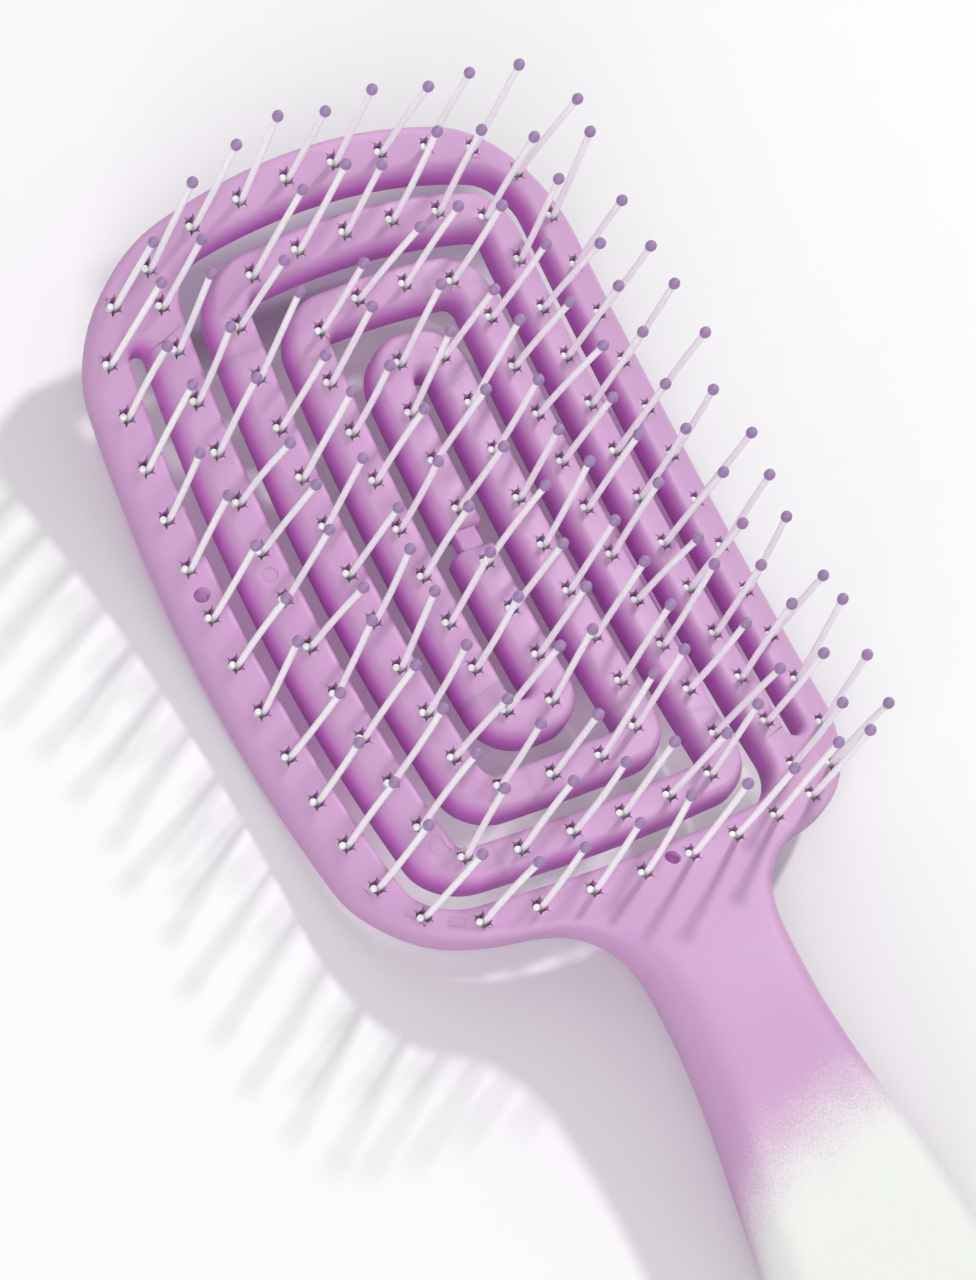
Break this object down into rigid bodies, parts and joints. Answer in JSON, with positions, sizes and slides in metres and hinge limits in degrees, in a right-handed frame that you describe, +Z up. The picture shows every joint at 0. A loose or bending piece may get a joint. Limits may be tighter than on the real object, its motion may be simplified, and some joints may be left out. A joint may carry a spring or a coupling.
{
  "type": "detangling brush",
  "caption": "Flat-handled detangling hair brush with a saddle-shaped vented head, flexible spiral arms and straight nylon bristles with ball tips.",
  "frame": {"origin": "centre of the bounding box on the table that the brush lies on, bristles up", "axes": "+Z up, +Y from the handle towards the head, +X across the head"},
  "size_m": [0.08, 0.2376, 0.0505],
  "materials": {
    "moulding": "satin lavender",
    "filament": "translucent nylon",
    "tip": "glossy",
    "anchor": "bright"
  },
  "bodies": {
    "frame": {"rim_and_handle": "moulding", "rim_filaments": "filament", "rim_tips": "tip", "rim_anchors": "anchor"},
    "arm_a1": {"arm_a1_strip": "moulding", "arm_a1_filaments": "filament", "arm_a1_tips": "tip", "arm_a1_anchors": "anchor"},
    "arm_a2": {"arm_a2_strip": "moulding", "arm_a2_filaments": "filament", "arm_a2_tips": "tip", "arm_a2_anchors": "anchor"},
    "arm_a3": {"arm_a3_strip": "moulding", "arm_a3_filaments": "filament", "arm_a3_tips": "tip", "arm_a3_anchors": "anchor"},
    "arm_a4": {"arm_a4_strip": "moulding", "arm_a4_filaments": "filament", "arm_a4_tips": "tip", "arm_a4_anchors": "anchor"},
    "arm_a5": {"arm_a5_strip": "moulding", "arm_a5_filaments": "filament", "arm_a5_tips": "tip", "arm_a5_anchors": "anchor"},
    "arm_a6": {"arm_a6_strip": "moulding", "arm_a6_filaments": "filament", "arm_a6_tips": "tip", "arm_a6_anchors": "anchor"},
    "arm_b1": {"arm_b1_strip": "moulding", "arm_b1_filaments": "filament", "arm_b1_tips": "tip", "arm_b1_anchors": "anchor"},
    "arm_b2": {"arm_b2_strip": "moulding", "arm_b2_filaments": "filament", "arm_b2_tips": "tip", "arm_b2_anchors": "anchor"},
    "arm_b3": {"arm_b3_strip": "moulding", "arm_b3_filaments": "filament", "arm_b3_tips": "tip", "arm_b3_anchors": "anchor"},
    "arm_b4": {"arm_b4_strip": "moulding", "arm_b4_filaments": "filament", "arm_b4_tips": "tip", "arm_b4_anchors": "anchor"},
    "arm_b5": {"arm_b5_strip": "moulding", "arm_b5_filaments": "filament", "arm_b5_tips": "tip", "arm_b5_anchors": "anchor"},
    "arm_b6": {"arm_b6_strip": "moulding", "arm_b6_filaments": "filament", "arm_b6_tips": "tip", "arm_b6_anchors": "anchor"}
  },
  "joints": [
    {"name": "arm_a1_flex", "type": "slide", "parent": "frame", "child": "arm_a1", "axis": [0, -0.0865, 0.9962], "range_m": [-0.0009, 0.0005], "stiffness_N_per_m": 3000},
    {"name": "arm_a2_flex", "type": "slide", "parent": "arm_a1", "child": "arm_a2", "axis": [0, -0.0865, 0.9962], "range_m": [-0.0009, 0.0005], "stiffness_N_per_m": 3000},
    {"name": "arm_a3_flex", "type": "slide", "parent": "arm_a2", "child": "arm_a3", "axis": [0, -0.0865, 0.9962], "range_m": [-0.0009, 0.0005], "stiffness_N_per_m": 3000},
    {"name": "arm_a4_flex", "type": "slide", "parent": "arm_a3", "child": "arm_a4", "axis": [0, -0.0865, 0.9962], "range_m": [-0.0009, 0.0005], "stiffness_N_per_m": 3000},
    {"name": "arm_a5_flex", "type": "slide", "parent": "arm_a4", "child": "arm_a5", "axis": [0, -0.0865, 0.9962], "range_m": [-0.0009, 0.0005], "stiffness_N_per_m": 3000},
    {"name": "arm_a6_flex", "type": "slide", "parent": "arm_a5", "child": "arm_a6", "axis": [0, -0.0865, 0.9962], "range_m": [-0.0009, 0.0005], "stiffness_N_per_m": 3000},
    {"name": "arm_b1_flex", "type": "slide", "parent": "frame", "child": "arm_b1", "axis": [0, -0.0865, 0.9962], "range_m": [-0.0009, 0.0005], "stiffness_N_per_m": 3000},
    {"name": "arm_b2_flex", "type": "slide", "parent": "arm_b1", "child": "arm_b2", "axis": [0, -0.0865, 0.9962], "range_m": [-0.0009, 0.0005], "stiffness_N_per_m": 3000},
    {"name": "arm_b3_flex", "type": "slide", "parent": "arm_b2", "child": "arm_b3", "axis": [0, -0.0865, 0.9962], "range_m": [-0.0009, 0.0005], "stiffness_N_per_m": 3000},
    {"name": "arm_b4_flex", "type": "slide", "parent": "arm_b3", "child": "arm_b4", "axis": [0, -0.0865, 0.9962], "range_m": [-0.0009, 0.0005], "stiffness_N_per_m": 3000},
    {"name": "arm_b5_flex", "type": "slide", "parent": "arm_b4", "child": "arm_b5", "axis": [0, -0.0865, 0.9962], "range_m": [-0.0009, 0.0005], "stiffness_N_per_m": 3000},
    {"name": "arm_b6_flex", "type": "slide", "parent": "arm_b5", "child": "arm_b6", "axis": [0, -0.0865, 0.9962], "range_m": [-0.0009, 0.0005], "stiffness_N_per_m": 3000}
  ],
  "couplings": [
    {"joint": "arm_a2_flex", "follows": "arm_a1_flex", "ratio": 1},
    {"joint": "arm_a3_flex", "follows": "arm_a1_flex", "ratio": 1},
    {"joint": "arm_a4_flex", "follows": "arm_a1_flex", "ratio": 1},
    {"joint": "arm_a5_flex", "follows": "arm_a1_flex", "ratio": 1},
    {"joint": "arm_a6_flex", "follows": "arm_a1_flex", "ratio": 1},
    {"joint": "arm_b1_flex", "follows": "arm_a1_flex", "ratio": 1},
    {"joint": "arm_b2_flex", "follows": "arm_a1_flex", "ratio": 1},
    {"joint": "arm_b3_flex", "follows": "arm_a1_flex", "ratio": 1},
    {"joint": "arm_b4_flex", "follows": "arm_a1_flex", "ratio": 1},
    {"joint": "arm_b5_flex", "follows": "arm_a1_flex", "ratio": 1},
    {"joint": "arm_b6_flex", "follows": "arm_a1_flex", "ratio": 1}
  ]
}
